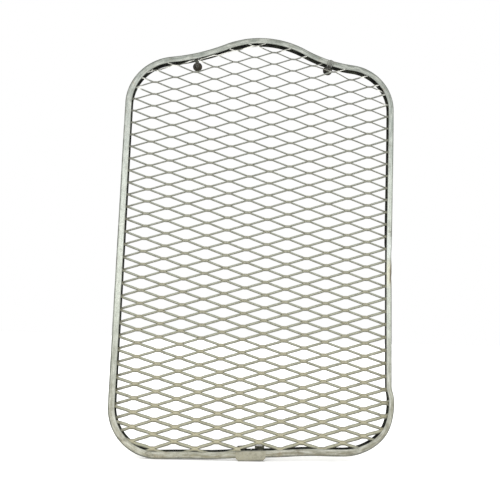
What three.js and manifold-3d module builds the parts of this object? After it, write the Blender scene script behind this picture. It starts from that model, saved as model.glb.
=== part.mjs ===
// Arched steel mesh screen: a one-piece channel rim round a panel of expanded metal,
// with a splice sleeve over the rim's joint and four threaded fixings behind it.
// Millimetres, +Z up, the front faces -Y. The origin is at the middle of the footprint,
// level with the lowest point of the rim and the sleeve.
import * as THREE from "three";
import { mergeVertices } from "three/addons/utils/BufferGeometryUtils.js";
import Module from "manifold-3d";

// ---- Driving dimensions ----

const GAP = 0.3; // between touching pieces

// Rim: a channel folded from sheet, open towards the middle of the screen
const SHEET = 1.0;
const RIM_DEPTH = 11;
const FRONT_FLANGE = 9.8;
const REAR_FLANGE = 10.9;
const TOP_HEIGHT = 664.4;
const CROWN_RADIUS = 150;
const CROWN_X = 4; // the raised middle stands a little to the right
const BOTTOM_HEIGHT = 4.58; // height of the rim's underside at x = 0
const BOTTOM_SLOPE = THREE.MathUtils.degToRad(1.9); // the bottom run climbs towards +X
const JOINT_X = 2.5; // where the two ends of the rim meet
const JOINT_GAP = 0.4;
// The rim was bent by hand, so its two sides differ a little.
const RIGHT_SIDE = {
  sign: 1,
  bottomHalfWidth: 217,
  topHalfWidth: 216.6,
  bottomRadius: 80,
  shoulderRadius: 74,
  shoulderHeight: 552,
  shoulderSlope: THREE.MathUtils.degToRad(5),
};
const LEFT_SIDE = {
  sign: -1,
  bottomHalfWidth: 213.5,
  topHalfWidth: 215,
  bottomRadius: 76,
  shoulderRadius: 82,
  shoulderHeight: 543.1,
  shoulderSlope: THREE.MathUtils.degToRad(8.85),
};

// Expanded metal panel, flattened: diamond openings in staggered rows
const LONG_PITCH = 63.07;
const SHORT_PITCH = 19.707;
const STRAND_WIDTH = 2.2;
const PANEL_THICKNESS = 3;
const PANEL_INSET = 4; // from the rim's outer edge to the panel's cut edge
const LATTICE_X = -15.2;
const LATTICE_Z = 305.9;
const LATTICE_LEAN = 0.012; // sideways drift of the columns for each mm of height
const BOLT_CLEARANCE = 2.2;
const LOW_SAG = 3.2; // how far the lowest row hangs below its even place at x = 0
const LOW_SAG_LEAN = 0.013; // more sag for each mm to the left
const LOW_SAG_TOP = 200; // height where the sag ends

// Splice sleeve round the rim's joint
const SLEEVE_LENGTH = 44.4;
const SLEEVE_OFFSET = -1.6; // the sleeve sits a little to the left of the joint
const SLEEVE_WALL = 1.0;
const SLEEVE_DROP = 4.0; // its underside lies this far below the rim's
const SLEEVE_CHAMFER = 3.7;

// Fixings, all parallel to Y
const THREAD_RADIUS = 3.175;
const STUD_HOLE_RADIUS = THREAD_RADIUS + GAP;
const UPPER_STUD_END = 48;
const UPPER_BOLT_END = 38;
const LOWER_STUD_END = 34.5;
const UPPER_RIGHT_X = 112.2;
const UPPER_LEFT_X = -105.2;
const UPPER_DROP = 0.8; // of the upper studs below the middle of the front flange
const LOWER_SPREAD = 13.4; // from the rim's joint to each lower stud
const LOWER_STUD_RISE = 5.5; // from the rim's underside to the lower studs
const HEAD_RADIUS = 5.4;
const HEAD_HEIGHT = 2.4;
const HEAD_RIM_SHARE = 0.3; // share of the head's height that is its straight side
const SLOT_WIDTH = 1.3;
const SLOT_DEPTH = 1.1;
const BRAZE_RADIUS = 3.5; // collar of braze that holds a stud to the front flange
const BRAZE_HEIGHT = 0.8;
const WASHER_RADIUS = 7.7;
const WASHER_THICKNESS = 2;
const RIGHT_WASHER_FRONT = 28; // how far each nut is run up its stud at rest
const LEFT_WASHER_FRONT = 40.5;
const PAD_SIZE = 14.2; // square clamp pad of a lower fixing
const PAD_THICKNESS = 5.6;
const PAD_FRONT = 21.4;
const NUT_RADIUS = 5.6; // to the corners of the six-sided nut
const NUT_THICKNESS = 4.6;
const SQUARE_NUT_SIZE = 13.8;
const SQUARE_NUT_THICKNESS = 5.4;
const EDGE_BREAK = 0.6;

const ROUND_SEGMENTS = 32;
const ARC_SEGMENTS = 6; // half the number of chords in each bend of the rim
const MID_X = (RIGHT_SIDE.bottomHalfWidth - LEFT_SIDE.topHalfWidth) / 2;
const MID_Y = (UPPER_STUD_END - HEAD_HEIGHT) / 2;

// ---- Materials ----

const finish = (color, roughness, metalness) =>
  new THREE.MeshStandardMaterial({ color, roughness, metalness });
const galvanised = () => finish(0xa9aca4, 0.45, 0.9);
const meshSteel = () => finish(0x9a968a, 0.5, 0.85);
const darkSteel = () => finish(0x2c2a24, 0.6, 0.7);
const studSteel = () => finish(0x6f6c66, 0.5, 0.85);

// ---- Joining and cutting ----

const wasm = await Module();
wasm.setup();

function toSolid(geometry) {
  const bare = geometry.clone();
  bare.deleteAttribute("normal");
  bare.deleteAttribute("uv");
  const merged = mergeVertices(bare, 1e-4);
  return new wasm.Manifold(
    new wasm.Mesh({
      numProp: 3,
      vertProperties: merged.attributes.position.array,
      triVerts: new Uint32Array(merged.index.array),
    }),
  );
}

function toGeometry(solid) {
  const mesh = solid.getMesh();
  const geometry = new THREE.BufferGeometry();
  geometry.setAttribute("position", new THREE.BufferAttribute(mesh.vertProperties, 3));
  geometry.setIndex(new THREE.BufferAttribute(mesh.triVerts, 1));
  const flat = geometry.toNonIndexed();
  flat.computeVertexNormals();
  return flat;
}

const join = (...geometries) =>
  toGeometry(geometries.map(toSolid).reduce((whole, piece) => whole.add(piece)));

const cut = (body, ...tools) =>
  toGeometry(tools.map(toSolid).reduce((whole, tool) => whole.subtract(tool), toSolid(body)));

// The largest connected piece, so that loose offcuts fall away.
function largestBody(solid) {
  const bodies = solid.decompose();
  return bodies.reduce((best, body) => (body.volume() > best.volume() ? body : best));
}

// ---- Basic shapes ----

// Shapes are drawn in X and Z, and get their thickness along Y from yFront backwards.
function plate(shapes, yFront, thickness) {
  const geometry = new THREE.ExtrudeGeometry(shapes, {
    depth: thickness,
    bevelEnabled: false,
    curveSegments: ARC_SEGMENTS,
  });
  return geometry.rotateX(Math.PI / 2).translate(0, yFront + thickness, 0);
}

const polygon = (points) => new THREE.Shape(points.map(([x, z]) => new THREE.Vector2(x, z)));

function box(xMin, xMax, yMin, yMax, zMin, zMax) {
  const geometry = new THREE.BoxGeometry(xMax - xMin, yMax - yMin, zMax - zMin);
  return geometry.translate((xMin + xMax) / 2, (yMin + yMax) / 2, (zMin + zMax) / 2);
}

// A body turned about the Y axis; the profile lists radius and y, from axis to axis.
function turned(profile, segments = ROUND_SEGMENTS) {
  const points = profile.map(([radius, y]) => new THREE.Vector2(radius, y));
  return new THREE.LatheGeometry(points, segments);
}

function rod(radius, yMin, yMax, x = 0, z = 0) {
  const profile = [[0, yMin], [radius, yMin], [radius, yMax], [0, yMax]];
  return turned(profile).translate(x, 0, z);
}

// ---- Rim outline ----

// The bends of one side from the bottom corner to the crown, as circles with start and end
// angles, measured on the +X side. A hollow bend curves the other way.
function sideBends(side) {
  const slope = side.sign * BOTTOM_SLOPE;
  const r = side.bottomRadius;
  const cornerX = side.bottomHalfWidth - r;
  const corner = new THREE.Vector2(
    cornerX,
    BOTTOM_HEIGHT + cornerX * Math.tan(slope) + r / Math.cos(slope),
  );
  const shoulder = new THREE.Vector2(side.topHalfWidth - side.shoulderRadius, side.shoulderHeight);
  const flare = -Math.atan2(side.topHalfWidth - side.bottomHalfWidth, shoulder.y - corner.y);
  const crown = new THREE.Vector2(side.sign * CROWN_X, TOP_HEIGHT - CROWN_RADIUS);

  // The hollow bend touches the shoulder and the crown.
  const leave = Math.PI / 2 - side.shoulderSlope;
  const normal = new THREE.Vector2(Math.cos(leave), Math.sin(leave));
  const start = shoulder.clone().addScaledVector(normal, side.shoulderRadius);
  const offset = start.clone().sub(crown);
  const hollowRadius =
    (CROWN_RADIUS ** 2 - offset.lengthSq()) / (2 * (offset.dot(normal) - CROWN_RADIUS));
  const hollow = start.clone().addScaledVector(normal, hollowRadius);
  const toCrown = crown.clone().sub(hollow).angle();

  return [
    { centre: corner, radius: r, from: -Math.PI / 2 + slope, to: flare },
    { centre: shoulder, radius: side.shoulderRadius, from: flare, to: leave },
    { centre: hollow, radius: hollowRadius, from: leave + Math.PI, to: toCrown, hollow: true },
    { centre: crown, radius: CROWN_RADIUS, from: toCrown - Math.PI, to: Math.PI / 2 },
  ];
}

const RIGHT_BENDS = sideBends(RIGHT_SIDE);
const LEFT_BENDS = sideBends(LEFT_SIDE);

// The rim's outline moved inwards by inset, anticlockwise as seen from the front.
function outline(inset) {
  const shape = new THREE.Shape();
  const radius = (bend) => bend.radius + (bend.hollow ? inset : -inset);
  for (const b of RIGHT_BENDS) {
    shape.absarc(b.centre.x, b.centre.y, radius(b), b.from, b.to, Boolean(b.hollow));
  }
  for (const b of LEFT_BENDS.toReversed()) {
    const [from, to] = [Math.PI - b.to, Math.PI - b.from];
    shape.absarc(-b.centre.x, b.centre.y, radius(b), from, to, Boolean(b.hollow));
  }
  return shape;
}

// Height of the middle of the front flange at a given x, in one of the hollow bends or
// shoulders of the top edge.
function flangeHeight(x) {
  const bends = x > 0 ? RIGHT_BENDS : LEFT_BENDS;
  const [, shoulder, hollow] = bends;
  const across = Math.abs(x);
  const startOfHollow = hollow.centre.x + hollow.radius * Math.cos(hollow.from);
  if (across > startOfHollow) {
    const r = shoulder.radius - FRONT_FLANGE / 2;
    return shoulder.centre.y + Math.sqrt(r ** 2 - (across - shoulder.centre.x) ** 2);
  }
  const r = hollow.radius + FRONT_FLANGE / 2;
  return hollow.centre.y - Math.sqrt(r ** 2 - (across - hollow.centre.x) ** 2);
}

function ring(outerInset, innerInset, yFront, thickness) {
  const shape = outline(outerInset);
  shape.holes.push(outline(innerInset));
  return plate(shape, yFront, thickness);
}

// ---- Where the fixings are ----

const UPPER_RIGHT = { x: UPPER_RIGHT_X, z: flangeHeight(UPPER_RIGHT_X) - UPPER_DROP };
const UPPER_LEFT = { x: UPPER_LEFT_X, z: flangeHeight(UPPER_LEFT_X) - UPPER_DROP };
const JOINT_Z = BOTTOM_HEIGHT + JOINT_X * Math.tan(BOTTOM_SLOPE);

// A point given along and above the rim's bottom run, measured from its joint
function atJoint(along, above) {
  const [c, s] = [Math.cos(BOTTOM_SLOPE), Math.sin(BOTTOM_SLOPE)];
  return { x: JOINT_X + along * c - above * s, z: JOINT_Z + along * s + above * c };
}
const LOWER_RIGHT = atJoint(LOWER_SPREAD, LOWER_STUD_RISE);
const LOWER_LEFT = atJoint(-LOWER_SPREAD, LOWER_STUD_RISE);
const FIXINGS = [UPPER_RIGHT, UPPER_LEFT, LOWER_RIGHT, LOWER_LEFT];

// ---- Rim ----

function rimChannel() {
  const front = ring(0, FRONT_FLANGE, 0, SHEET);
  const wall = ring(0, SHEET, SHEET / 2, RIM_DEPTH - SHEET);
  const rear = ring(0, REAR_FLANGE, RIM_DEPTH - SHEET, SHEET);
  const joint = box(-JOINT_GAP / 2, JOINT_GAP / 2, -1, RIM_DEPTH + 1, -5, REAR_FLANGE + 5);
  joint.rotateY(-BOTTOM_SLOPE).translate(JOINT_X, 0, JOINT_Z);
  const rearHoles = FIXINGS.map(({ x, z }) =>
    rod(STUD_HOLE_RADIUS, RIM_DEPTH / 2, RIM_DEPTH + 1, x, z),
  );
  const boltHole = rod(STUD_HOLE_RADIUS, -1, RIM_DEPTH / 2 + 1, UPPER_RIGHT.x, UPPER_RIGHT.z);
  return cut(join(front, wall, rear), joint, boltHole, ...rearHoles);
}

// ---- Expanded metal panel ----

// The lattice hangs lower and lower towards the bottom, most of all on the left.
function sagged([x, z]) {
  const reach = Math.max(0, LOW_SAG_TOP - z) / LOW_SAG_TOP;
  return [x, z - (LOW_SAG - LOW_SAG_LEAN * x) * reach ** 2];
}

function diamondOpenings() {
  const [halfLong, halfShort] = [LONG_PITCH / 2, SHORT_PITCH / 2];
  const strandAngle = Math.atan2(halfShort, halfLong);
  const a = halfLong - STRAND_WIDTH / 2 / Math.sin(strandAngle);
  const b = halfShort - STRAND_WIDTH / 2 / Math.cos(strandAngle);
  const rows = Math.ceil(TOP_HEIGHT / 2 / halfShort) + 2;
  const columns = Math.ceil(RIGHT_SIDE.topHalfWidth / halfLong) + 1;
  const diamonds = [];
  for (let row = -rows; row <= rows; row += 1) {
    for (let column = -columns; column <= columns; column += 1) {
      if ((row + column) % 2 !== 0) continue;
      const z = LATTICE_Z + row * halfShort;
      const x = LATTICE_X + column * halfLong + (z - LATTICE_Z) * LATTICE_LEAN;
      const corners = [[x - a, z], [x, z - b], [x + a, z], [x, z + b]];
      diamonds.push(polygon(corners.map(sagged)));
    }
  }
  return diamonds;
}

function meshPanel() {
  const yFront = (RIM_DEPTH - PANEL_THICKNESS) / 2;
  const sheet = plate(outline(PANEL_INSET), yFront, PANEL_THICKNESS);
  const openings = plate(diamondOpenings(), yFront - 1, PANEL_THICKNESS + 2);
  const notches = FIXINGS.map(({ x, z }) =>
    rod(BRAZE_RADIUS + BOLT_CLEARANCE, 0, RIM_DEPTH, x, z),
  );
  return toGeometry(largestBody(toSolid(cut(sheet, openings, ...notches))));
}

// ---- Splice sleeve, in a frame that lies along the rim's bottom run at the joint ----

function spliceSleeve() {
  const left = SLEEVE_OFFSET - SLEEVE_LENGTH / 2;
  const right = SLEEVE_OFFSET + SLEEVE_LENGTH / 2;
  const face = polygon([
    [left, FRONT_FLANGE],
    [left, 0],
    [left + SLEEVE_CHAMFER, -SLEEVE_DROP],
    [right - SLEEVE_CHAMFER, -SLEEVE_DROP],
    [right, 0],
    [right, FRONT_FLANGE],
  ]);
  const yFront = -GAP - SLEEVE_WALL;
  const block = plate(face, yFront, RIM_DEPTH - 2 * yFront);
  const channel = box(left - 1, right + 1, -GAP, RIM_DEPTH + GAP, -GAP, FRONT_FLANGE + 1);
  const hollow = box(
    left + SLEEVE_CHAMFER + SLEEVE_WALL,
    right - SLEEVE_CHAMFER - SLEEVE_WALL,
    -GAP,
    RIM_DEPTH + GAP,
    -SLEEVE_DROP + SLEEVE_WALL,
    1,
  );
  const holes = [-LOWER_SPREAD, LOWER_SPREAD].map((along) =>
    rod(STUD_HOLE_RADIUS, RIM_DEPTH, RIM_DEPTH + 5, along, LOWER_STUD_RISE),
  );
  return cut(block, channel, hollow, ...holes);
}

// ---- Fixings, each along Y through the origin ----

// A stud held to the back of the front flange by a collar of braze
function stud(end) {
  const yStart = SHEET + GAP;
  return turned([
    [0, yStart],
    [BRAZE_RADIUS, yStart],
    [THREAD_RADIUS, yStart + BRAZE_HEIGHT],
    [THREAD_RADIUS, end - EDGE_BREAK],
    [THREAD_RADIUS - EDGE_BREAK, end],
    [0, end],
  ]);
}

// A bolt put through the rim from the front, with a domed and slotted head
function slottedBolt(end) {
  const headBack = -GAP;
  const domeSteps = 6;
  const dome = Array.from({ length: domeSteps + 1 }, (_, i) => {
    const angle = (i / domeSteps) * (Math.PI / 2);
    const height = (HEAD_HEIGHT - GAP) * (HEAD_RIM_SHARE + (1 - HEAD_RIM_SHARE) * Math.cos(angle));
    return [HEAD_RADIUS * Math.sin(angle), headBack - height];
  });
  const body = turned([
    ...dome,
    [HEAD_RADIUS, headBack],
    [THREAD_RADIUS, headBack],
    [THREAD_RADIUS, end - EDGE_BREAK],
    [THREAD_RADIUS - EDGE_BREAK, end],
    [0, end],
  ]);
  const slot = box(
    -SLOT_WIDTH / 2,
    SLOT_WIDTH / 2,
    -HEAD_HEIGHT - 1,
    -HEAD_HEIGHT + SLOT_DEPTH,
    -HEAD_RADIUS - 1,
    HEAD_RADIUS + 1,
  );
  return cut(body, slot);
}

const bore = (yMin, yMax) => rod(STUD_HOLE_RADIUS, yMin - 1, yMax + 1);

function roundWasher(front) {
  const back = front + WASHER_THICKNESS;
  return cut(rod(WASHER_RADIUS, front, back), bore(front, back));
}

function hexNut(front) {
  const back = front + NUT_THICKNESS;
  const body = turned([[0, front], [NUT_RADIUS, front], [NUT_RADIUS, back], [0, back]], 6);
  return cut(body, bore(front, back));
}

function squareBlock(size, front, thickness) {
  const half = size / 2;
  const back = front + thickness;
  return cut(box(-half, half, front, back, -half, half), bore(front, back));
}

const clampPad = () => squareBlock(PAD_SIZE, PAD_FRONT, PAD_THICKNESS);
const squareNut = (front) => squareBlock(SQUARE_NUT_SIZE, front, SQUARE_NUT_THICKNESS);

// ---- Assembly ----

const screen = new THREE.Group();
screen.position.set(-MID_X, -MID_Y, 0);

function addPiece(parent, name, geometry, material, place = { x: 0, z: 0 }) {
  const mesh = new THREE.Mesh(geometry, material);
  mesh.name = name;
  mesh.position.set(place.x, 0, place.z);
  parent.add(mesh);
}

addPiece(screen, "rim_channel", rimChannel(), galvanised());
addPiece(screen, "mesh_panel", meshPanel(), meshSteel());

const joint = new THREE.Group();
joint.position.set(JOINT_X, 0, JOINT_Z);
joint.rotation.y = -BOTTOM_SLOPE;
screen.add(joint);
addPiece(joint, "splice_sleeve", spliceSleeve(), galvanised());

addPiece(screen, "upper_right_bolt", slottedBolt(UPPER_BOLT_END), studSteel(), UPPER_RIGHT);
addPiece(screen, "upper_left_stud", stud(UPPER_STUD_END), studSteel(), UPPER_LEFT);
for (const [name, place, washerFront] of [
  ["upper_right", UPPER_RIGHT, RIGHT_WASHER_FRONT],
  ["upper_left", UPPER_LEFT, LEFT_WASHER_FRONT],
]) {
  const nutFront = washerFront + WASHER_THICKNESS + GAP;
  addPiece(screen, `${name}_washer`, roundWasher(washerFront), darkSteel(), place);
  addPiece(screen, `${name}_nut`, hexNut(nutFront), darkSteel(), place);
}
for (const [name, along] of [["lower_right", LOWER_SPREAD], ["lower_left", -LOWER_SPREAD]]) {
  const place = { x: along, z: LOWER_STUD_RISE };
  const nutFront = PAD_FRONT + PAD_THICKNESS + GAP;
  addPiece(joint, `${name}_stud`, stud(LOWER_STUD_END), studSteel(), place);
  addPiece(joint, `${name}_clamp_pad`, clampPad(), darkSteel(), place);
  addPiece(joint, `${name}_nut`, squareNut(nutFront), darkSteel(), place);
}

export default screen;
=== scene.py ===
"""Arched steel mesh screen: a bent channel rim, raised expanded metal and threaded fixings.

Metres, +Z up, the front faces -Y. The rim, the mesh and the fixings are rebuilt here with
their folds, tilted strands, threads and worn finish; each one stands for its CAD node.
"""
import math

import bmesh
import bpy
from mathutils import Matrix, Vector, noise


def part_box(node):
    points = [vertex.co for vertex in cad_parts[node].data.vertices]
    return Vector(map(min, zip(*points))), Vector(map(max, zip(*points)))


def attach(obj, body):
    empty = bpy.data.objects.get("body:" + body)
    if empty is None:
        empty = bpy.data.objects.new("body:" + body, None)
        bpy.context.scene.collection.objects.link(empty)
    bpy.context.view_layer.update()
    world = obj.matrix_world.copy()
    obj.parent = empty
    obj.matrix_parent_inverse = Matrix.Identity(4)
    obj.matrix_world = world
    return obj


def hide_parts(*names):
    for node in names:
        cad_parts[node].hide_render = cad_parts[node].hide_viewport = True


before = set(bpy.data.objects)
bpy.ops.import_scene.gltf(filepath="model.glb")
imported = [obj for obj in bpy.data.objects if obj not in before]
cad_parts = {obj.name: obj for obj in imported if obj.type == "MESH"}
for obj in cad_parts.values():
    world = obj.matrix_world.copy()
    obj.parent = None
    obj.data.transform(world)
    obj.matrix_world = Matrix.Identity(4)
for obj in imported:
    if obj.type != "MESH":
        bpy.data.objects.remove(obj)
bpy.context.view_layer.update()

MM = 0.001

# ---- Driving dimensions, the same as the CAD model's ----

SHEET = 1.0 * MM
FRONT_FLANGE = 9.8 * MM
REAR_FLANGE = 10.9 * MM
TOP_HEIGHT = 664.4 * MM
CROWN_RADIUS = 150 * MM
CROWN_X = 4 * MM
BOTTOM_HEIGHT = 4.58 * MM
BOTTOM_SLOPE = math.radians(1.9)
JOINT_X = 2.5 * MM
JOINT_GAP = 0.4 * MM
RIGHT_SIDE = dict(
    sign=1, bottom_half=217 * MM, top_half=216.6 * MM, bottom_radius=80 * MM,
    shoulder_radius=74 * MM, shoulder_height=552 * MM, shoulder_slope=math.radians(5),
)
LEFT_SIDE = dict(
    sign=-1, bottom_half=213.5 * MM, top_half=215 * MM, bottom_radius=76 * MM,
    shoulder_radius=82 * MM, shoulder_height=543.1 * MM, shoulder_slope=math.radians(8.85),
)
LONG_PITCH = 63.07 * MM
SHORT_PITCH = 19.707 * MM
LATTICE_X = -15.2 * MM
LATTICE_Z = 305.9 * MM
LATTICE_LEAN = 0.012

# The CAD frame's origin is half-way between the two sides, not at the outline's own zero.
MID_X = (RIGHT_SIDE["bottom_half"] - LEFT_SIDE["top_half"]) / 2
FRONT_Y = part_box("rim_channel")[0].y
REAR_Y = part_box("rim_channel")[1].y
RIM_DEPTH = REAR_Y - FRONT_Y

# ---- Finer sizes, which only the visible model has ----

PATH_STEP = 3 * MM
SAME_POINT = 0.2 * MM
RIGHT_HALF_FROM = 150 * MM
RIGHT_SIDE_FROM = 190 * MM
RIGHT_EDGE_FROM = 200 * MM

# The right side leans in: from nothing at the top to its full depth, and back out at a step.
BOW_TOP = 560 * MM
BOW_FULL = 270 * MM
BOW_BOTTOM = 94 * MM
BOW_STEP = 21 * MM
BOW_DEPTH = 3.8 * MM

# Hand bending along the bottom
BEND_BELOW = 120 * MM
CORNER_SWELL = 2.7 * MM
CORNER_FROM = 120 * MM
CORNER_RUN = 50 * MM
CORNER_HEIGHT = 42 * MM
CORNER_HALF = 26 * MM
BOTTOM_LIFTS = ((84 * MM, 1.5 * MM), (-55 * MM, -1.3 * MM))  # place along X, lift
LIFT_HALF = 30 * MM

# The rim's section, and how it varies round the rim
FOLD_RADIUS = 1.5 * MM
FOLD_STEPS = 5
TIP_STEPS = 3
EDGE_WANDER = 0.3 * MM
EDGE_RIPPLE = 0.2 * MM
FLANGE_SWAY = 0.25 * MM
SWAY_WAVES = 14
RIGHT_DENTS = ((315 * MM, 18 * MM, 0.8 * MM), (280 * MM, 9 * MM, 0.5 * MM))  # height, half, depth
BOTTOM_GROWTH = 1.0 * MM
LEFT_GROWTH = 0.7 * MM
RIGHT_LOSS = 1.2 * MM
REAR_TRIM = 1.4 * MM
REAR_TRIM_BELOW = 335 * MM
REAR_TRIM_RUN = 12 * MM

# Strands and bonds of the expanded metal
STRAND_WIDTH = 5.2 * MM
BOND_WIDTH = 3.8 * MM
STRAND_THICKNESS = 1.4 * MM
STRAND_TILT = math.radians(34)
STRAND_STEPS = 4
BOND_HALF = 3.2 * MM
WIDER_FROM = 200 * MM
WIDER_FULL = 40 * MM
WIDER_BY = 0.16
PANEL_HALF_WIDTH = 215 * MM
PANEL_ABOVE_LATTICE = 370 * MM
TUCK_DEEP = 3.6 * MM
TUCK_SHALLOW = 5.6 * MM
TUCK_WAVES = 45
STUD_CLEARANCE = 5.6 * MM
EDGE_HALVINGS = 12
# Strand ends within this depth of the rim, above this height, get a painted highlight
HIGHLIGHT_FROM = 560 * MM
HIGHLIGHT_DEPTH = 17 * MM

# How the panel has been pushed about; a pair is a centre and a half width
PANEL_SIDE = 190 * MM
HANG = 5 * MM
HANG_TILT = 0.02
HANG_BELOW = 200 * MM
MIDDLE_SAG = 2.5 * MM
MIDDLE_SAG_AT = (505 * MM, 65 * MM)
TOP_LIFT = 1.4 * MM
TOP_LIFT_FROM = 560 * MM
TOP_LIFT_RUN = 50 * MM
LEFT_LIFT = 2.3 * MM
LEFT_LIFT_AT = (350 * MM, 90 * MM)
LEFT_PULL = 0.9 * MM
BOLT_PUSH_X = 3.4 * MM
BOLT_PUSH_Z = 2.4 * MM
BY_BOLT_X = (118 * MM, 30 * MM)
BY_BOLT_Z = (618 * MM, 22 * MM)
SLOW_WAVES = 6
FAST_TO_SLOW = 9

# Sleeve and fixings
SLEEVE_BEVEL = 0.35 * MM
# The sleeve's painted shade edge fades out between these heights above its bottom
SLEEVE_EDGE_FROM = 1.3 * MM
SLEEVE_EDGE_TO = 3.0 * MM
HOLE_RADIUS = 3.475 * MM
HOLE_SIDES = 32
NUT_BORE = 3.3 * MM
ROUND_STEPS = 48
WASHER_RADIUS = 7.7 * MM
WASHER_CHAMFER = 0.3 * MM
HEX_NUT_CHAMFER = 0.35 * MM
PAD_HALF_WIDTH = 7.1 * MM
PAD_CHAMFER = 0.25 * MM
SQUARE_NUT_HALF_WIDTH = 6.9 * MM
SQUARE_NUT_CHAMFER = 0.5 * MM
THREAD_RADIUS = 3.175 * MM
THREAD_PITCH = 1.27 * MM
THREAD_DEPTH = 0.55 * MM
THREAD_STEEPNESS = 1.25
THREAD_STEPS = 8
THREAD_SIDES = 24
POINT_LENGTH = 0.9 * MM
POINT_DEPTH = 0.7 * MM
HEAD_STEPS = 10
HEAD_START = 0.6
HEAD_FLAT = 0.35
HEAD_CHAMFER = 0.2 * MM
HEAD_GAP = 0.05 * MM
SLOT_WIDTH = 1.3 * MM
SLOT_DEPTH = 1.1 * MM
SLOT_MIDDLE = 0.45 * MM
SLOT_TURN = math.radians(-12)

# Camera: pitch, yaw and roll in degrees
CAMERA_TURN = (7.66, -2.71, -1.79)
CAMERA_SENSOR = 36.0
CAMERA_LENS = 43.2
CAMERA_X = -0.0531 - MID_X
CAMERA_Y = FRONT_Y - 0.9195
CAMERA_Z = 0.1914

FLOOR_SIZE = 12.0
FLOOR_DROP = 0.2 * MM
FLOOR_GLOW = 0.25

FIXINGS = ("upper_right", "upper_left", "lower_right", "lower_left")
STUD_NODES = {
    "upper_right": "upper_right_bolt",
    "upper_left": "upper_left_stud",
    "lower_right": "lower_right_stud",
    "lower_left": "lower_left_stud",
}


def middle(node):
    low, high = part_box(node)
    return (low + high) / 2


def ease(t):
    """A smooth step: 0 up to 0, 1 from 1 on."""
    t = max(0.0, min(1.0, t))
    return t * t * (3 - 2 * t)


def bump_at(value, centre, half):
    """1 at the centre, falling away smoothly on both sides."""
    return math.exp(-(((value - centre) / half) ** 2))


# ---- Rim outline ----


def side_bends(side):
    """The bends of one side from the bottom corner to the crown: centre, radius, start and end
    angle, and whether the bend is hollow."""
    slope = side["sign"] * BOTTOM_SLOPE
    radius = side["bottom_radius"]
    corner_x = side["bottom_half"] - radius
    corner = Vector((
        corner_x,
        BOTTOM_HEIGHT + corner_x * math.tan(slope) + radius / math.cos(slope),
    ))
    shoulder = Vector((side["top_half"] - side["shoulder_radius"], side["shoulder_height"]))
    flare = -math.atan2(side["top_half"] - side["bottom_half"], shoulder.y - corner.y)
    crown = Vector((side["sign"] * CROWN_X, TOP_HEIGHT - CROWN_RADIUS))
    leave = math.pi / 2 - side["shoulder_slope"]
    normal = Vector((math.cos(leave), math.sin(leave)))
    start = shoulder + normal * side["shoulder_radius"]
    offset = start - crown
    hollow_radius = (CROWN_RADIUS ** 2 - offset.length_squared) / (
        2 * (offset.dot(normal) - CROWN_RADIUS)
    )
    hollow = start + normal * hollow_radius
    to_crown = math.atan2(crown.y - hollow.y, crown.x - hollow.x)
    if to_crown < 0:
        to_crown += 2 * math.pi
    return [
        (corner, radius, -math.pi / 2 + slope, flare, False),
        (shoulder, side["shoulder_radius"], flare, leave, False),
        (hollow, hollow_radius, leave + math.pi, to_crown, True),
        (crown, CROWN_RADIUS, to_crown - math.pi, math.pi / 2, False),
    ]


def bend_points(bend):
    """Points and inward normals along one bend."""
    centre, radius, start, end, hollow = bend
    count = max(2, math.ceil(abs(end - start) * radius / PATH_STEP))
    points = []
    for i in range(count + 1):
        angle = start + (end - start) * i / count
        out = Vector((math.cos(angle), math.sin(angle)))
        points.append((centre + out * radius, out if hollow else -out))
    return points


def fill_straight(points):
    """The same run with points added where two neighbours are further apart than a step."""
    filled = []
    for (a, na), (b, nb) in zip(points, points[1:]):
        count = max(1, math.ceil((b - a).length / PATH_STEP))
        for i in range(count):
            t = i / count
            filled.append((a.lerp(b, t), na.lerp(nb, t).normalized()))
    filled.append(points[-1])
    return filled


def right_bow(height):
    """How far the right side leans in between its shoulder and its bottom corner."""
    lean = ease((BOW_TOP - height) / (BOW_TOP - BOW_FULL))
    return BOW_DEPTH * lean * ease((height - BOW_BOTTOM) / BOW_STEP)


def bottom_bend(p):
    """How far the hand-bent rim lies off its drawn line along the bottom: fuller round the lower
    right corner, a little low to the left of the joint and high to the right of it."""
    if p.y > BEND_BELOW:
        return Vector((0, 0))
    out = Vector((1, -1)).normalized()
    swell = CORNER_SWELL * ease((p.x - CORNER_FROM) / CORNER_RUN)
    swell *= bump_at(p.y, CORNER_HEIGHT, CORNER_HALF)
    lift = sum(height * bump_at(p.x, place, LIFT_HALF) for place, height in BOTTOM_LIFTS)
    return out * swell + Vector((0, lift))


def rim_path():
    """The rim's outer edge from its joint, up the right side and round to the joint again, each
    point with its inward normal."""
    right = [p for bend in side_bends(RIGHT_SIDE) for p in bend_points(bend)]
    left = [p for bend in side_bends(LEFT_SIDE) for p in bend_points(bend)]
    left = [(Vector((-p.x, p.y)), Vector((-n.x, n.y))) for p, n in reversed(left)]
    up = Vector((-math.sin(BOTTOM_SLOPE), math.cos(BOTTOM_SLOPE)))
    along = Vector((math.cos(BOTTOM_SLOPE), math.sin(BOTTOM_SLOPE)))
    joint = Vector((JOINT_X, BOTTOM_HEIGHT + JOINT_X * math.tan(BOTTOM_SLOPE)))
    start = (joint + along * (JOINT_GAP / 2), up)
    end = (joint - along * (JOINT_GAP / 2), up)
    points = [start] + right + left + [end]
    kept = [points[0]]
    for p, n in points[1:]:
        if (p - kept[-1][0]).length > SAME_POINT:
            kept.append((p, n))
    middle_x = Vector((MID_X, 0))
    path = []
    for p, n in fill_straight(kept):
        bow = n * right_bow(p.y) if p.x > RIGHT_HALF_FROM else Vector((0, 0))
        path.append((p - middle_x + bow + bottom_bend(p), n))
    return path


RIM_PATH = rim_path()
INSET_OUTLINES = {
    inset: [p + n * inset for p, n in RIM_PATH] for inset in (TUCK_DEEP, TUCK_SHALLOW, HIGHLIGHT_DEPTH)
}


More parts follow.
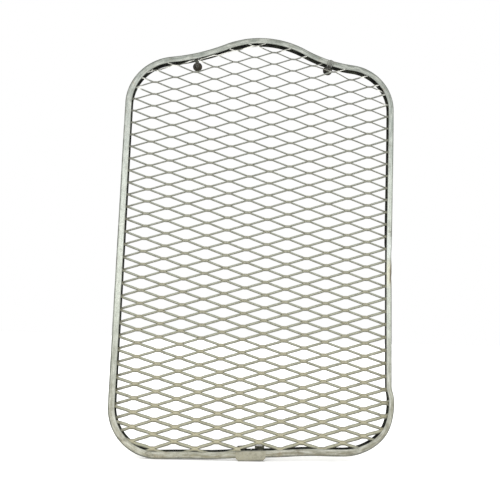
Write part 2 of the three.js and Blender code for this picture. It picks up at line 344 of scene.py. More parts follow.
def inside_outline(x, z, inset):
    """Is the point inside the rim's outline moved inwards by inset?"""
    inside = False
    outline = INSET_OUTLINES[inset]
    ax, az = outline[-1]
    for bx, bz in outline:
        if (az > z) != (bz > z) and x < (bx - ax) * (z - az) / (bz - az) + ax:
            inside = not inside
        ax, az = bx, bz
    return inside


# ---- Mesh helpers ----


def link_object(name, data):
    made = bpy.data.objects.new(name, data)
    bpy.context.collection.objects.link(made)
    return made


def solid_object(name, bm):
    """Turns a closed bmesh into an object with its faces outwards."""
    bmesh.ops.recalc_face_normals(bm, faces=bm.faces)
    mesh = bpy.data.meshes.new(name)
    bm.to_mesh(mesh)
    bm.free()
    return link_object(name, mesh)


def add_piece(node, bm, material, body="screen", shade_angle=35):
    """Turns a bmesh into a piece that rides on its body and stands for its CAD node."""
    piece = solid_object(f"{node}_finished", bm)
    mesh = piece.data
    mesh.materials.append(material)
    for polygon in mesh.polygons:
        polygon.use_smooth = True
    mark_sharp(mesh, math.radians(shade_angle))
    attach(piece, body)
    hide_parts(node)
    return piece


def mark_sharp(mesh, angle):
    """Keeps an edge sharp where its two faces meet at more than the angle."""
    bm = bmesh.new()
    bm.from_mesh(mesh)
    for edge in bm.edges:
        edge.smooth = len(edge.link_faces) == 2 and edge.calc_face_angle(0) < angle
    bm.to_mesh(mesh)
    bm.free()


def cut_with(piece, cutters):
    """Cuts the cutters' shapes out of a piece, and removes the cutters."""
    for cutter in cutters:
        modifier = piece.modifiers.new("cut", "BOOLEAN")
        modifier.operation = "DIFFERENCE"
        modifier.solver = "EXACT"
        modifier.object = cutter
    apply_modifiers(piece)
    for cutter in cutters:
        mesh = cutter.data
        bpy.data.objects.remove(cutter)
        bpy.data.meshes.remove(mesh)
    return piece


def apply_modifiers(piece):
    """Makes what the piece's modifiers show its own mesh."""
    depsgraph = bpy.context.evaluated_depsgraph_get()
    made = bpy.data.meshes.new_from_object(piece.evaluated_get(depsgraph))
    old = piece.data
    piece.modifiers.clear()
    piece.data = made
    bpy.data.meshes.remove(old)


def join_rings(bm, rings, closed=False):
    """Joins rings of vertices into a skin; an open run of rings gets a cap at each end."""
    pairs = list(zip(rings, rings[1:]))
    if closed:
        pairs.append((rings[-1], rings[0]))
    for a, b in pairs:
        for i in range(len(a)):
            j = (i + 1) % len(a)
            bm.faces.new((a[i], a[j], b[j], b[i]))
    if not closed:
        bm.faces.new(rings[0])
        bm.faces.new(rings[-1])


def around(centre, radius, y, angle):
    """A point at the angle from +Z round an axis along Y through the centre."""
    return Vector((centre.x + radius * math.sin(angle), y, centre.z + radius * math.cos(angle)))


def full_turn(steps):
    return [2 * math.pi * i / steps for i in range(steps)]


def add_ring(bm, centre, radius, y, steps):
    return [bm.verts.new(around(centre, radius, y, a)) for a in full_turn(steps)]


def drill(centre, radius, y_from, y_to):
    """A rod along Y that cuts a hole."""
    bm = bmesh.new()
    join_rings(bm, [add_ring(bm, centre, radius, y, HOLE_SIDES) for y in (y_from, y_to)])
    return solid_object("cutter", bm)


# ---- Materials ----


class Nodes:
    """Short calls for building one material's node tree."""

    def __init__(self, name):
        self.material = bpy.data.materials.new(name)
        self.material.use_nodes = True
        self.tree = self.material.node_tree
        self.shader = self.tree.nodes["Principled BSDF"]
        self.place = self.add("ShaderNodeTexCoord").outputs["Object"]

    def add(self, kind, **settings):
        node = self.tree.nodes.new(kind)
        for key, value in settings.items():
            setattr(node, key, value)
        return node

    def link(self, source, target):
        if isinstance(source, (int, float)):
            target.default_value = source
        elif isinstance(source, (tuple, list)):
            target.default_value = (*source, 1) if len(source) == 3 else source
        else:
            self.tree.links.new(source, target)

    def math(self, operation, a, b=0.0, clamp=False):
        node = self.add("ShaderNodeMath", operation=operation, use_clamp=clamp)
        self.link(a, node.inputs[0])
        self.link(b, node.inputs[1])
        return node.outputs[0]

    def remap(self, value, low, high, to_low=0.0, to_high=1.0):
        node = self.add("ShaderNodeMapRange", clamp=True)
        self.link(value, node.inputs["Value"])
        for key, number in zip(
            ("From Min", "From Max", "To Min", "To Max"), (low, high, to_low, to_high)
        ):
            node.inputs[key].default_value = number
        return node.outputs["Result"]

    def times(self, first, *others):
        for other in others:
            first = self.math("MULTIPLY", first, other)
        return first

    def tint(self, tone, mask, strength, color):
        """The tone, mixed towards a colour by up to the strength where the mask is 1."""
        return self.mix(self.times(mask, strength), tone, color)

    def mix(self, factor, a, b):
        node = self.add("ShaderNodeMix", data_type="RGBA")
        self.link(factor, node.inputs["Factor"])
        self.link(a, node.inputs[6])
        self.link(b, node.inputs[7])
        return node.outputs[2]

    def ramp(self, value, stops):
        node = self.add("ShaderNodeValToRGB")
        self.link(value, node.inputs["Fac"])
        elements = node.color_ramp.elements
        while len(elements) < len(stops):
            elements.new(0.5)
        for element, (at, color) in zip(elements, stops):
            element.position = at
            element.color = (*color, 1)
        return node.outputs["Color"]

    def noise(self, scale, detail=4.0, roughness=0.55):
        node = self.add("ShaderNodeTexNoise")
        node.inputs["Scale"].default_value = scale
        node.inputs["Detail"].default_value = detail
        node.inputs["Roughness"].default_value = roughness
        self.link(self.place, node.inputs["Vector"])
        return node.outputs["Fac"]

    def flange_noise(self, along, across):
        """Noise that runs with the rim: its scale along the strip and across the flange."""
        place = self.add("ShaderNodeCombineXYZ")
        self.link(self.math("MULTIPLY", self.attribute("along"), along), place.inputs[0])
        self.link(self.math("MULTIPLY", self.attribute("across"), across), place.inputs[1])
        self.link(self.math("MULTIPLY", self.axis("Y"), along), place.inputs[2])
        node = self.add("ShaderNodeTexNoise")
        node.inputs["Scale"].default_value = 1.0
        node.inputs["Detail"].default_value = 5.0
        node.inputs["Roughness"].default_value = 0.62
        self.link(place.outputs[0], node.inputs["Vector"])
        return node.outputs["Fac"]

    def axis(self, name):
        node = self.add("ShaderNodeSeparateXYZ")
        self.link(self.place, node.inputs[0])
        return node.outputs[name]

    def attribute(self, name):
        node = self.add("ShaderNodeAttribute", attribute_name=name)
        return node.outputs["Fac"]

    def band(self, value, centre, half):
        """1 at the centre, falling to 0 at half away from it."""
        off = self.math("ABSOLUTE", self.math("SUBTRACT", value, centre))
        return self.remap(off, half * 0.35, half, 1.0, 0.0)

    def bump(self, height, distance, strength=1.0):
        node = self.add("ShaderNodeBump")
        node.inputs["Strength"].default_value = strength
        node.inputs["Distance"].default_value = distance
        self.link(height, node.inputs["Height"])
        self.link(node.outputs["Normal"], self.shader.inputs["Normal"])

    def finish(self, color, roughness, metallic):
        self.link(color, self.shader.inputs["Base Color"])
        self.link(roughness, self.shader.inputs["Roughness"])
        self.shader.inputs["Metallic"].default_value = metallic
        return self.material


def height_tone(n, stops, drift=0.14):
    """A colour that changes up the screen; each stop is a height in metres and a colour."""
    wander = n.math("MULTIPLY", n.math("SUBTRACT", n.noise(9.0, 3.0), 0.5), drift)
    share = n.math("DIVIDE", n.math("ADD", n.axis("Z"), wander), TOP_HEIGHT)
    return n.ramp(share, [(height / TOP_HEIGHT, color) for height, color in stops])


def rim_material(name, bottom_edge=None):
    """Tarnished zinc with a painted reflection up its height: grey-green at the top, bright half-way
    up, warm and darker below. Its painted shade edge follows the rim's fold, or a bottom edge at a
    given height."""
    n = Nodes(name)
    x, z, across = n.axis("X"), n.axis("Z"), n.attribute("across")
    # Painted reflection up the rim: grey-green at the top, bright half-way up, warm and darker low
    # down
    tone = height_tone(n, (
        (0.000, (0.205, 0.182, 0.102)),
        (0.022, (0.235, 0.212, 0.130)),
        (0.060, (0.285, 0.275, 0.205)),
        (0.130, (0.315, 0.325, 0.265)),
        (0.220, (0.480, 0.515, 0.440)),
        (0.330, (0.560, 0.600, 0.525)),
        (0.430, (0.470, 0.515, 0.460)),
        (0.510, (0.270, 0.308, 0.280)),
        (0.580, (0.190, 0.215, 0.198)),
        (0.664, (0.160, 0.180, 0.156)),
    ))

    # Broad differences between the parts of the rim: lighter low on the left, darker low on the
    # right, a painted reflection half-way up the left side, and lighter towards the inner edge of
    # the face
    low = n.remap(z, 0.015, 0.12, 1.0, 0.0)
    low_left = n.times(low, n.remap(x, -0.05, -0.16, 0.0, 0.30))
    tone = n.mix(low_left, tone, (0.60, 0.60, 0.50))
    low_right = n.times(low, n.remap(x, 0.0, 0.08, 0.0, 0.62))
    tone = n.mix(low_right, tone, (0.150, 0.135, 0.085))
    left_side_reflection = n.times(n.remap(x, -0.19, -0.2), n.band(z, 0.42, 0.26))
    tone = n.tint(tone, left_side_reflection, 0.2, (0.82, 0.85, 0.80))
    tone = n.mix(n.remap(across, 0.45, 0.95, 0.0, 0.28), tone, (0.66, 0.69, 0.63))

    # Streaks and blooms that run with the strip, and finer wear
    streak = n.remap(n.flange_noise(110.0, 9.0), 0.40, 0.66)
    tone = n.tint(tone, streak, 0.42, (0.15, 0.16, 0.135))
    bloom = n.remap(n.flange_noise(45.0, 3.0), 0.44, 0.66)
    tone = n.tint(tone, bloom, 0.42, (0.80, 0.81, 0.74))
    mottle = n.remap(n.noise(260.0, 5.0, 0.65), 0.38, 0.68)
    tone = n.tint(tone, mottle, 0.18, (0.62, 0.63, 0.56))
    fine = n.remap(n.noise(520.0, 4.0, 0.7), 0.46, 0.62)
    tone = n.tint(tone, fine, 0.26, (0.13, 0.14, 0.12))

    # The patches half-way up the right side: flaked, rubbed bright, and scorched along the edge
    right = n.remap(x, RIGHT_SIDE_FROM, RIGHT_EDGE_FROM)
    rubbed = n.times(right, n.band(z, 0.328, 0.026))
    tone = n.tint(tone, rubbed, 0.45, (0.66, 0.70, 0.68))
    scorched = n.times(right, n.band(z, 0.286, 0.026))
    tone = n.tint(tone, scorched, 0.5, (0.66, 0.64, 0.47))
    edge_line = n.band(n.math("ADD", across, n.times(streak, 0.12)), 0.28, 0.22)
    tone = n.tint(tone, n.times(scorched, edge_line), 0.85, (0.12, 0.085, 0.05))
    flaked = n.times(
        right,
        n.band(z, 0.352, 0.011),
        n.remap(across, 0.2, 0.6, 1.0, 0.2),
        n.remap(n.noise(420.0, 3.0), 0.44, 0.6),
    )
    tone = n.tint(tone, flaked, 0.8, (0.13, 0.125, 0.09))

    # Dirt, most of it low down, and a painted shade line along the fold
    grime = n.remap(n.noise(90.0, 6.0, 0.7), 0.50, 0.68)
    grime_share = n.math("ADD", 0.34, n.times(low, 0.36))
    tone = n.tint(tone, grime, grime_share, (0.115, 0.105, 0.07))
    specks = n.remap(n.noise(700.0, 2.0, 0.5), 0.64, 0.72)
    tone = n.tint(tone, specks, 0.6, (0.07, 0.06, 0.045))
    if bottom_edge is None:
        edge = n.remap(n.attribute("fold"), 0.30, 0.9)
    else:
        height = n.math("SUBTRACT", z, n.times(x, math.tan(BOTTOM_SLOPE)))
        edge = n.remap(
            height, bottom_edge + SLEEVE_EDGE_FROM, bottom_edge + SLEEVE_EDGE_TO, 1.0, 0.0
        )
    edge_break = n.remap(n.noise(55.0, 4.0), 0.25, 0.6, 0.45, 1.0)
    tone = n.tint(tone, n.times(edge, edge_break), 0.88, (0.075, 0.08, 0.065))
    rust = n.remap(n.noise(34.0, 5.0, 0.7), 0.62, 0.73)
    tone = n.tint(tone, rust, 0.55, (0.22, 0.155, 0.085))

    # The inside of the channel is painted nearly black as shade
    channel_shade = n.remap(n.noise(110.0, 4.0), 0.42, 0.66)
    channel_shade = n.mix(channel_shade, (0.008, 0.008, 0.007), (0.040, 0.045, 0.028))
    tone = n.mix(n.attribute("inner"), tone, channel_shade)
    roughness = n.remap(n.noise(140.0, 4.0), 0.3, 0.7, 0.40, 0.66)
    ripples = n.times(n.noise(60.0, 3.0), 2.0)
    n.bump(n.math("ADD", n.noise(420.0, 5.0, 0.6), ripples), 0.00014, 0.7)
    return n.finish(tone, roughness, 0.35)


def mesh_material():
    """Zinc-coated expanded steel: dull olive grey, yellower low down, with painted shade near the
    top, tan at the bonds, and painted shade on the sheared faces."""
    n = Nodes("expanded_steel")
    # Darker near the top: painted shade where the strands are seen edge-on, away from the light
    face = height_tone(n, (
        (0.00, (0.310, 0.315, 0.225)),
        (0.10, (0.300, 0.308, 0.230)),
        (0.22, (0.340, 0.355, 0.275)),
        (0.40, (0.320, 0.340, 0.285)),
        (0.58, (0.245, 0.268, 0.240)),
        (0.66, (0.235, 0.256, 0.230)),
    ), 0.08)
    bond = height_tone(n, (
        (0.00, (0.345, 0.320, 0.200)),
        (0.15, (0.310, 0.295, 0.195)),
        (0.35, (0.275, 0.275, 0.200)),
        (0.66, (0.220, 0.235, 0.195)),
    ), 0.08)
    # The sheared faces' dark tone is painted shade, where they face down and away from the light
    cut = height_tone(n, (
        (0.00, (0.095, 0.090, 0.060)),
        (0.20, (0.110, 0.108, 0.075)),
        (0.66, (0.110, 0.115, 0.098)),
    ), 0.05)
    tone = n.mix(n.attribute("bond"), face, bond)

    # Low down a strand gets a painted highlight along its middle and painted shade along both edges
    low = n.remap(n.axis("Z"), 0.05, 0.22, 1.0, 0.0)
    off_middle = n.math("ABSOLUTE", n.attribute("strand_side"))
    tone = n.tint(tone, n.remap(off_middle, 0.2, 0.7, 0.30, 0.0), low, (0.640, 0.610, 0.450))
    edge_shade_share = n.math("ADD", 0.35, n.times(low, 0.65))
    tone = n.tint(tone, n.remap(off_middle, 0.45, 0.9, 0.0, 0.65), edge_shade_share, (0.105, 0.105, 0.075))
    # Sheared faces take the painted shade tone
    tone = n.mix(n.attribute("sheared"), tone, cut)

    # Strand ends near the top of the rim get a painted highlight
    tone = n.tint(
        tone, n.attribute("rim_highlight"), n.remap(n.noise(95.0, 2.0), 0.36, 0.56), (0.86, 0.86, 0.80)
    )
    mottle = n.remap(n.noise(300.0, 5.0, 0.65), 0.36, 0.70)
    tone = n.tint(tone, mottle, 0.22, (0.62, 0.60, 0.50))
    grime = n.remap(n.noise(120.0, 6.0, 0.7), 0.52, 0.70)
    tone = n.tint(tone, grime, 0.5, (0.10, 0.09, 0.06))
    specks = n.remap(n.noise(75.0, 5.0, 0.75), 0.67, 0.73)
    tone = n.tint(tone, specks, 0.85, (0.045, 0.03, 0.02))
    roughness = n.remap(n.noise(200.0, 4.0), 0.3, 0.7, 0.42, 0.7)
    n.bump(n.noise(600.0, 4.0, 0.6), 0.0001, 0.5)
    return n.finish(tone, roughness, 0.3)


def stud_material():
    """Thread steel painted nearly black as shade behind the rim, with a paler head in front of the
    rim.
    """
    n = Nodes("thread_steel_shaded")
    wear = n.remap(n.noise(220.0, 5.0, 0.6), 0.35, 0.70)
    # Nearly black behind the rim: painted shade on the shank; the head in front is paler
    tone = n.mix(wear, (0.035, 0.033, 0.027), (0.115, 0.11, 0.095))
    head = n.remap(n.axis("Y"), FRONT_Y - 0.3 * MM, FRONT_Y + 0.2 * MM, 1.0, 0.0)
    tone = n.mix(head, tone, n.mix(wear, (0.10, 0.105, 0.09), (0.25, 0.26, 0.235)))
    rust = n.remap(n.noise(80.0, 6.0, 0.7), 0.55, 0.72)
    tone = n.tint(tone, rust, 0.6, (0.085, 0.055, 0.03))
    roughness = n.remap(n.noise(180.0, 3.0), 0.3, 0.7, 0.40, 0.62)
    n.bump(n.noise(900.0, 4.0), 0.00008, 0.5)
    return n.finish(tone, roughness, 0.6)


def blotched_material(name, dark, light):
    """Blotched and rusty steel between two tones."""
    n = Nodes(name)
    blotch = n.remap(n.noise(130.0, 5.0, 0.65), 0.36, 0.7)
    tone = n.mix(blotch, dark, light)
    rust = n.remap(n.noise(60.0, 6.0, 0.7), 0.56, 0.74)
    tone = n.tint(tone, rust, 0.8, (0.11, 0.075, 0.035))
    roughness = n.remap(n.noise(180.0, 3.0), 0.3, 0.7, 0.45, 0.75)
    n.bump(n.noise(700.0, 5.0), 0.0001, 0.6)
    return n.finish(tone, roughness, 0.45)


RIM_FINISH = rim_material("tarnished_zinc")
SLEEVE_FINISH = rim_material("sleeve_zinc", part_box("splice_sleeve")[0].z)
MESH_FINISH = mesh_material()
STUD_FINISH = stud_material()
DARK_FINISH = blotched_material("blackened_steel", (0.012, 0.011, 0.009), (0.045, 0.038, 0.024))
PAD_FINISH = blotched_material("olive_pad_steel", (0.085, 0.085, 0.065), (0.210, 0.205, 0.155))


# ---- Rim ----


def channel_profile():
    """The channel's section as (inset, depth, fold, inner): its folded sheet from the tip of the
    front flange round the outside, and back along the inside."""
    def arc(inset, depth, radius, start, end, fold, inner, count):
        made = []
        for i in range(count + 1):
            a = math.radians(start + (end - start) * i / count)
            made.append((inset + radius * math.cos(a), depth + radius * math.sin(a), fold, inner))
        return made

    tip, r, inside = SHEET / 2, FOLD_RADIUS, FOLD_RADIUS - SHEET
    rear_tip = (REAR_FLANGE - tip, RIM_DEPTH - tip, tip)
    front_tip = (FRONT_FLANGE - tip, tip, tip)
    # fold weights the painted shade line along the folds; inner marks the faces painted dark as
    # shade inside the channel
    points = arc(*front_tip, 0, -90, 0.7, 0, TIP_STEPS)
    for share, fold in ((0.86, 0.1), (0.6, 0.0), (0.34, 0.0), (0.2, 0.55)):
        points.append((FRONT_FLANGE * share, 0.0, fold, 0))
    points += arc(r, r, r, 270, 180, 1.0, 0, FOLD_STEPS)
    points += arc(r, RIM_DEPTH - r, r, 180, 90, 0.5, 0, FOLD_STEPS)
    for share in (0.34, 0.7):
        points.append((REAR_FLANGE * share, RIM_DEPTH, 0.0, 0))
    points += arc(*rear_tip, 90, 0, 0.0, 0, TIP_STEPS)
    points += arc(*rear_tip, 0, -90, 0.0, 1, TIP_STEPS)[1:]
    points += arc(r, RIM_DEPTH - r, inside, 90, 180, 0.0, 1, TIP_STEPS)
    points += arc(r, r, inside, 180, 270, 0.0, 1, TIP_STEPS)
    points += arc(*front_tip, 90, 0, 0.0, 1, TIP_STEPS)[:-1]
    return points


def hand_bend(distance, total):
    """How far the outer edge is pushed inwards by uneven bending, at a distance along the rim."""
    turn = 2 * math.pi * distance / total
    around_rim = Vector((math.cos(turn), math.sin(turn), 0)) * 3.0
    wander = 0.5 + 0.5 * noise.noise(around_rim)
    ripple = 0.5 + 0.5 * noise.noise(around_rim * 7.0 + Vector((5, 1, 2)))
    return EDGE_WANDER * wander + EDGE_RIPPLE * ripple


def dent_depth(point):
    """How far dents in the right side's outer edge move it inwards."""
    depth = 0.0
    if point.x > RIGHT_EDGE_FROM:
        for height, half, deepest in RIGHT_DENTS:
            depth += deepest * ease(1 - abs(point.y - height) / half)
    return depth


def flange_growth(normal):
    """The flanges are a little wider along the bottom and the left, and narrower on the right."""
    bottom, left, right = max(0, normal.y) ** 2, max(0, normal.x) ** 2, max(0, -normal.x) ** 2
    return BOTTOM_GROWTH * bottom + LEFT_GROWTH * left - RIGHT_LOSS * right


def rear_trim(point):
    """How much narrower the rear flange is along the lower part of the right side."""
    if point.x < RIGHT_SIDE_FROM:
        return 0.0
    low = ease((REAR_TRIM_BELOW - point.y) / REAR_TRIM_RUN)
    return REAR_TRIM * low * ease((point.y - BOW_BOTTOM) / BOW_STEP)


def make_rim():
    bm = bmesh.new()
    fold_layer = bm.verts.layers.float.new("fold")
    inner_layer = bm.verts.layers.float.new("inner")
    along_layer = bm.verts.layers.float.new("along")
    across_layer = bm.verts.layers.float.new("across")
    profile = channel_profile()
    total = sum((b[0] - a[0]).length for a, b in zip(RIM_PATH, RIM_PATH[1:]))
    rings, travelled, previous = [], 0.0, RIM_PATH[0][0]
    for point, normal in RIM_PATH:
        travelled += (point - previous).length
        previous = point
        push = hand_bend(travelled, total) + dent_depth(point)
        growth = flange_growth(normal)
        trim = rear_trim(point)
        sway = FLANGE_SWAY * noise.noise(Vector((point.x * SWAY_WAVES, point.y * SWAY_WAVES, 3.0)))
        ring = []
        for inset, depth, fold, inner in profile:
            share = max(0.0, 1 - inset / FRONT_FLANGE)
            spread = growth - (trim if depth > RIM_DEPTH / 2 else 0)
            at = point + normal * (inset + push * share + spread * (1 - share))
            vert = bm.verts.new((at.x, FRONT_Y + depth + sway * (1 - share), at.y))
            vert[fold_layer] = fold
            vert[inner_layer] = inner
            vert[along_layer] = travelled
            vert[across_layer] = 1 - share
            ring.append(vert)
        rings.append(ring)
    join_rings(bm, rings)
    rim = add_piece("rim_channel", bm, RIM_FINISH)
    holes = [
        drill(middle(STUD_NODES[f]), HOLE_RADIUS, FRONT_Y + RIM_DEPTH / 2, REAR_Y + 3 * MM)
        for f in FIXINGS
    ]
    return cut_with(rim, holes)


# ---- Expanded metal ----


def knocked_about(x, z):
    """Where a point of the panel goes, which has been stretched and pushed about: it hangs low
    along the bottom, most of all on the left, sags a little in its upper middle, and is pushed up
    half-way up the left side, along the top and by the bolt."""
    side = max(-1.0, min(1.0, x / PANEL_SIDE))
    leftness = max(0.0, -side)
    middleness = 1 - side * side
    hang = (HANG - HANG_TILT * x) * max(0.0, 1 - z / HANG_BELOW) ** 2
    sag = MIDDLE_SAG * bump_at(z, *MIDDLE_SAG_AT) * middleness
    top_share = max(0.0, (z - TOP_LIFT_FROM) / TOP_LIFT_RUN) ** 2 * middleness
    by_bolt = bump_at(x, *BY_BOLT_X) * bump_at(z, *BY_BOLT_Z)
    lift = TOP_LIFT * min(1.0, top_share) + LEFT_LIFT * bump_at(z, *LEFT_LIFT_AT) * leftness
    return (
        x - LEFT_PULL * leftness ** 4 + BOLT_PUSH_X * by_bolt,
        z - hang - sag + lift + BOLT_PUSH_Z * by_bolt,
    )


def bond_place(u, v, y):
    """Where a bond of the lattice lies, a little off its true place."""
    x = LATTICE_X + u * LONG_PITCH / 2
    z = LATTICE_Z + v * SHORT_PITCH / 2
    x += (z - LATTICE_Z) * LATTICE_LEAN
    x, z = knocked_about(x, z)
    x -= MID_X
    slow = Vector((x * SLOW_WAVES, z * SLOW_WAVES, 0.0))
    fast = slow * FAST_TO_SLOW
    shift = Vector((
        0.9 * noise.noise(slow) + 0.35 * noise.noise(fast),
        0.3 * noise.noise(slow + Vector((7, 3, 1))),
        0.5 * noise.noise(slow + Vector((2, 9, 4))) + 0.2 * noise.noise(fast + Vector((1, 4, 8))),
    ))
    return Vector((x, y, z)) + shift * MM


STRAND_ALONG = Vector((0, math.cos(STRAND_TILT), math.sin(STRAND_TILT)))
STRAND_FACE = Vector((0, -math.sin(STRAND_TILT), math.cos(STRAND_TILT)))


def widening(v):
    """The strands are a little wider towards the bottom of the panel."""
    height = LATTICE_Z + v * SHORT_PITCH / 2
    return 1 + WIDER_BY * max(0.0, min(1.0, (WIDER_FROM - height) / (WIDER_FROM - WIDER_FULL)))


def ribbon_stations(row, columns, y):
    """The stations of one row of strands, left to right. Each has a key, a centre, a width and
    the point that decides whether it lies inside; a bond's says whether the bond is low in the
    row, where the row below shares it."""
    stations = []
    for u in range(-columns, columns + 1):
        low = (u + row) % 2 == 1
        v = row if low else row + 1
        bond = bond_place(u, v, y)
        wider = widening(v)
        centre = bond + STRAND_ALONG * (BOND_WIDTH * wider / 2 * (1 if low else -1))
        if stations:
            last = stations[-1]["centre"]
            first = centre - Vector((BOND_HALF, 0, 0))
            for i in range(1, STRAND_STEPS + 1):
                t = i / (STRAND_STEPS + 1)
                at = last.lerp(first, t)
                at.y = last.y + (first.y - last.y) * ease(t)
                stations.append({
                    "key": ("strand", row, u, i),
                    "centre": at,
                    "test": at,
                    "width": STRAND_WIDTH * wider,
                })
        for j in (-1, 0, 1):
            stations.append({
                "key": ("bond", u, v, j),
                "centre": centre + Vector((j * BOND_HALF, 0, 0)),
                "test": bond,
                "low": low,
                "width": BOND_WIDTH * wider,
            })
    return stations


def keep_runs(stations, inside):
    """Splits a row into the runs that lie inside, cut exactly at the edge."""
    runs, run = [], []
    for before, after in zip(stations, stations[1:]):
        a, b = inside(before["test"]), inside(after["test"])
        if a and not run:
            run = [before]
        if a and b:
            run.append(after)
        elif a != b:
            low, high = before["centre"], after["centre"]
            t_in, t_out = (0.0, 1.0) if a else (1.0, 0.0)
            for _ in range(EDGE_HALVINGS):
                t = (t_in + t_out) / 2
                if inside(low.lerp(high, t)):
                    t_in = t
                else:
                    t_out = t
            edge = {
                "key": ("cut", before["key"], after["key"]),
                "centre": low.lerp(high, t_in),
                "width": min(before["width"], after["width"]),
            }
            if a:
                run.append(edge)
                runs.append(run)
                run = []
            else:
                run = [edge, after]
    if len(run) > 1:
        runs.append(run)
    return [r for r in runs if len(r) > 1]


def make_mesh_panel():
    """The panel: rows of tilted strands that meet at their bonds, cut off inside the channel and
    clear of the studs."""
    bm = bmesh.new()
    sheared_layer = bm.faces.layers.float.new("sheared")
    bond_layer = bm.verts.layers.float.new("bond")
    rim_highlight_layer = bm.verts.layers.float.new("rim_highlight")
    side_layer = bm.verts.layers.float.new("strand_side")
    y = (FRONT_Y + REAR_Y) / 2
    columns = math.ceil(PANEL_HALF_WIDTH / (LONG_PITCH / 2)) + 2
    rows_down = math.ceil(LATTICE_Z / (SHORT_PITCH / 2)) + 1
    rows_up = math.ceil(PANEL_ABOVE_LATTICE / (SHORT_PITCH / 2)) + 1
    studs = [middle(STUD_NODES[f]) for f in FIXINGS]

    def inside(at):
        uneven = noise.noise(Vector((at.x * TUCK_WAVES, at.z * TUCK_WAVES, 6.0)))
        inset = TUCK_DEEP if uneven < 0.15 else TUCK_SHALLOW
        if any(math.hypot(at.x - s.x, at.z - s.z) < STUD_CLEARANCE for s in studs):
            return False
        return inside_outline(at.x, at.z, inset)

    made = {}

    def corner(row, station, side, face):
        """A corner of the strand's section at a station; the two rows at a bond share one."""
        bond = station["key"][0] == "bond"
        shared = bond and (side == -1) == station["low"]
        key = (station["key"] if shared else (row, station["key"], side), face)
        if key not in made:
            at = station["centre"] + STRAND_ALONG * (side * station["width"] / 2)
            made[key] = bm.verts.new(at + STRAND_FACE * (face * STRAND_THICKNESS / 2))
            made[key][bond_layer] = 1.0 if bond else 0.0
            made[key][side_layer] = 0.0 if shared else float(side)
            # Marks corners near the top of the rim for the painted highlight
            near_rim = not inside_outline(at.x, at.z, HIGHLIGHT_DEPTH)
            made[key][rim_highlight_layer] = 1.0 if near_rim and at.z > HIGHLIGHT_FROM else 0.0
        return made[key]

    def add_face(corners, sheared):
        bm.faces.new(corners)[sheared_layer] = sheared

    sections = ((-1, 1), (1, 1), (1, -1), (-1, -1))
    for row in range(-rows_down, rows_up):
        for run in keep_runs(ribbon_stations(row, columns, y), inside):
            quads = [[corner(row, s, side, face) for side, face in sections] for s in run]
            for a, b, qa, qb in zip(run, run[1:], quads, quads[1:]):
                same_bond = a["key"][0] == b["key"][0] == "bond"
                add_face((qa[0], qa[1], qb[1], qb[0]), 0.0)
                add_face((qa[2], qa[3], qb[3], qb[2]), 0.0)
                if not (same_bond and a["low"]):
                    add_face((qa[3], qa[0], qb[0], qb[3]), 1.0)
                if not (same_bond and not a["low"]):
                    add_face((qa[1], qa[2], qb[2], qb[1]), 1.0)
            add_face(quads[0], 1.0)
            add_face(quads[-1], 1.0)
    return add_piece("mesh_panel", bm, MESH_FINISH, shade_angle=30)


# ---- Splice sleeve ----


def refined_copy(node, material, bevel):
    """A copy of a CAD node with its flat faces made whole and its edges rounded."""
    bm = bmesh.new()
    bm.from_mesh(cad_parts[node].data)
    bmesh.ops.remove_doubles(bm, verts=bm.verts, dist=1e-6)
    bmesh.ops.dissolve_limit(
        bm, angle_limit=math.radians(2), use_dissolve_boundaries=False,
        verts=bm.verts, edges=bm.edges,
    )
    bmesh.ops.recalc_face_normals(bm, faces=bm.faces)
    sharp = math.radians(30)
    corners = [e for e in bm.edges if len(e.link_faces) == 2 and e.calc_face_angle(0) > sharp]
    bmesh.ops.bevel(
        bm, geom=corners, offset=bevel, segments=3, profile=0.5, affect="EDGES", clamp_overlap=True
    )
    return add_piece(node, bm, material)


# ---- Fixings ----


def polygon_radius(half_width, sides, angle):
    """Distance from the middle of a regular polygon to its edge, with a corner at angle 0."""
    step = 2 * math.pi / sides
    return half_width / math.cos((angle % step) - step / 2)


def pierced_block(node, half_width, sides, bore, chamfer, turn=0.0, material=DARK_FINISH):
    """A washer (sides 0), nut or pad: a round or polygonal block with a hole, its outer corners
    turned off by a chamfer and its hole countersunk."""
    low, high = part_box(node)
    centre = (low + high) / 2
    crown = half_width - chamfer
    lip = chamfer * 0.5
    slope = math.tan(math.radians(30)) if sides == 6 else 1.0

    def edge(angle):
        return polygon_radius(half_width, sides, angle) if sides else half_width

    def end_sections(end, inwards):
        """The radius and the depth of each ring from the hole to the outer edge of one end."""
        return [
            (lambda a: bore, lambda a: end + inwards * lip),
            (lambda a: bore + lip, lambda a: end),
            (lambda a: crown, lambda a: end),
            (edge, lambda a: end + inwards * (edge(a) - crown) * slope),
        ]

    bm = bmesh.new()
    rings = [
        [
            bm.verts.new(around(centre, radius_at(a), depth_at(a), a + turn))
            for a in full_turn(ROUND_STEPS)
        ]
        for radius_at, depth_at in end_sections(low.y, 1) + end_sections(high.y, -1)[::-1]
    ]
    join_rings(bm, rings, closed=True)
    return add_piece(node, bm, material, body=node)


def threaded_rings(bm, centre, y_from, y_to):
    """Rings of a screw thread from one end to the other, with a plain point."""
    count = round((y_to - y_from) / THREAD_PITCH * THREAD_STEPS)
    rings = []
    for i in range(count + 1):
        y = y_from + (y_to - y_from) * i / count
        point = POINT_DEPTH * max(0.0, 1 - (y_to - y) / POINT_LENGTH)
        ring = []
        for angle in full_turn(THREAD_SIDES):
            phase = ((y - y_from) / THREAD_PITCH - angle / (2 * math.pi)) % 1.0
            valley = THREAD_DEPTH * min(1.0, abs(phase * 2 - 1) * THREAD_STEEPNESS)
            radius = THREAD_RADIUS - max(valley, point)
            ring.append(bm.verts.new(around(centre, radius, y, angle)))
        rings.append(ring)
    return rings


def make_stud(fixing):
    node = STUD_NODES[fixing]
    low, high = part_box(node)
    bm = bmesh.new()
    join_rings(bm, threaded_rings(bm, (low + high) / 2, low.y, high.y))
    return add_piece(node, bm, STUD_FINISH, shade_angle=60)


